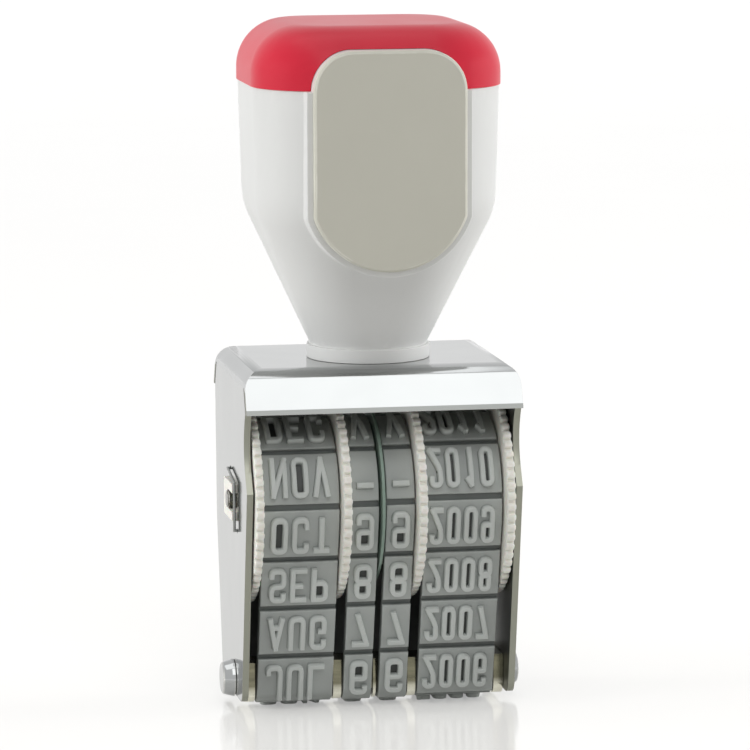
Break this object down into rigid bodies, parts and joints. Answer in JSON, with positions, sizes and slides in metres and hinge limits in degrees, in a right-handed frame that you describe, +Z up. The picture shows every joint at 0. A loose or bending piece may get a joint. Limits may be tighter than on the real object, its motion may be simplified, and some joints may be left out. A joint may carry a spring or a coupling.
{
  "type": "band date stamp",
  "caption": "Hand-held date stamp: a plastic handle on a bent steel frame holding rubber type bands that thumb wheels turn to set month, day and year.",
  "frame": {"origin": "middle of the footprint, at the level of the printing face at the foot of the bands", "axes": "+Z up through the handle, +X along the wheel axle, -Y the front with the name plate and the thumb wheels"},
  "size_m": [0.0328, 0.028, 0.0745],
  "materials": {
    "handle_white": "moulded, semi-gloss",
    "handle_red": "moulded, semi-gloss",
    "plate_grey": "fine satin",
    "fastener_steel": "zinc plated",
    "frame_steel": "bright nickel plate",
    "axle_steel": "bright turned",
    "wheel_plastic": "moulded cream",
    "divider_green": "thin sheet",
    "band_rubber": "moulded grey rubber",
    "platen_brass": "dull plated brass"
  },
  "bodies": {
    "stamp_frame": {"handle_body": "handle_white", "handle_cap": "handle_red", "front_plate": "plate_grey", "handle_screw": "fastener_steel", "handle_washer": "fastener_steel", "frame": "frame_steel", "wheel_axle": "axle_steel", "axle_bearing_left": "wheel_plastic", "axle_bearing_right": "wheel_plastic", "axle_wire_left": "fastener_steel", "axle_wire_right": "fastener_steel", "divider_disc": "divider_green", "month_band": "band_rubber", "day_tens_band": "band_rubber", "day_units_band": "band_rubber", "year_band": "band_rubber", "platen_bar": "platen_brass", "platen_rivet_left": "frame_steel", "platen_rivet_right": "frame_steel"},
    "month_wheel": {"month_wheel": "wheel_plastic"},
    "day_tens_wheel": {"day_tens_wheel": "wheel_plastic"},
    "day_units_wheel": {"day_units_wheel": "wheel_plastic"},
    "year_wheel": {"year_wheel": "wheel_plastic"}
  },
  "joints": [
    {"name": "month_turn", "type": "hinge", "parent": "stamp_frame", "child": "month_wheel", "pos_m": [0, 0, 0.0228], "axis": [1, 0, 0], "continuous": true},
    {"name": "day_tens_turn", "type": "hinge", "parent": "stamp_frame", "child": "day_tens_wheel", "pos_m": [0, 0, 0.0228], "axis": [1, 0, 0], "continuous": true},
    {"name": "day_units_turn", "type": "hinge", "parent": "stamp_frame", "child": "day_units_wheel", "pos_m": [0, 0, 0.0228], "axis": [1, 0, 0], "continuous": true},
    {"name": "year_turn", "type": "hinge", "parent": "stamp_frame", "child": "year_wheel", "pos_m": [0, 0, 0.0228], "axis": [1, 0, 0], "continuous": true}
  ]
}
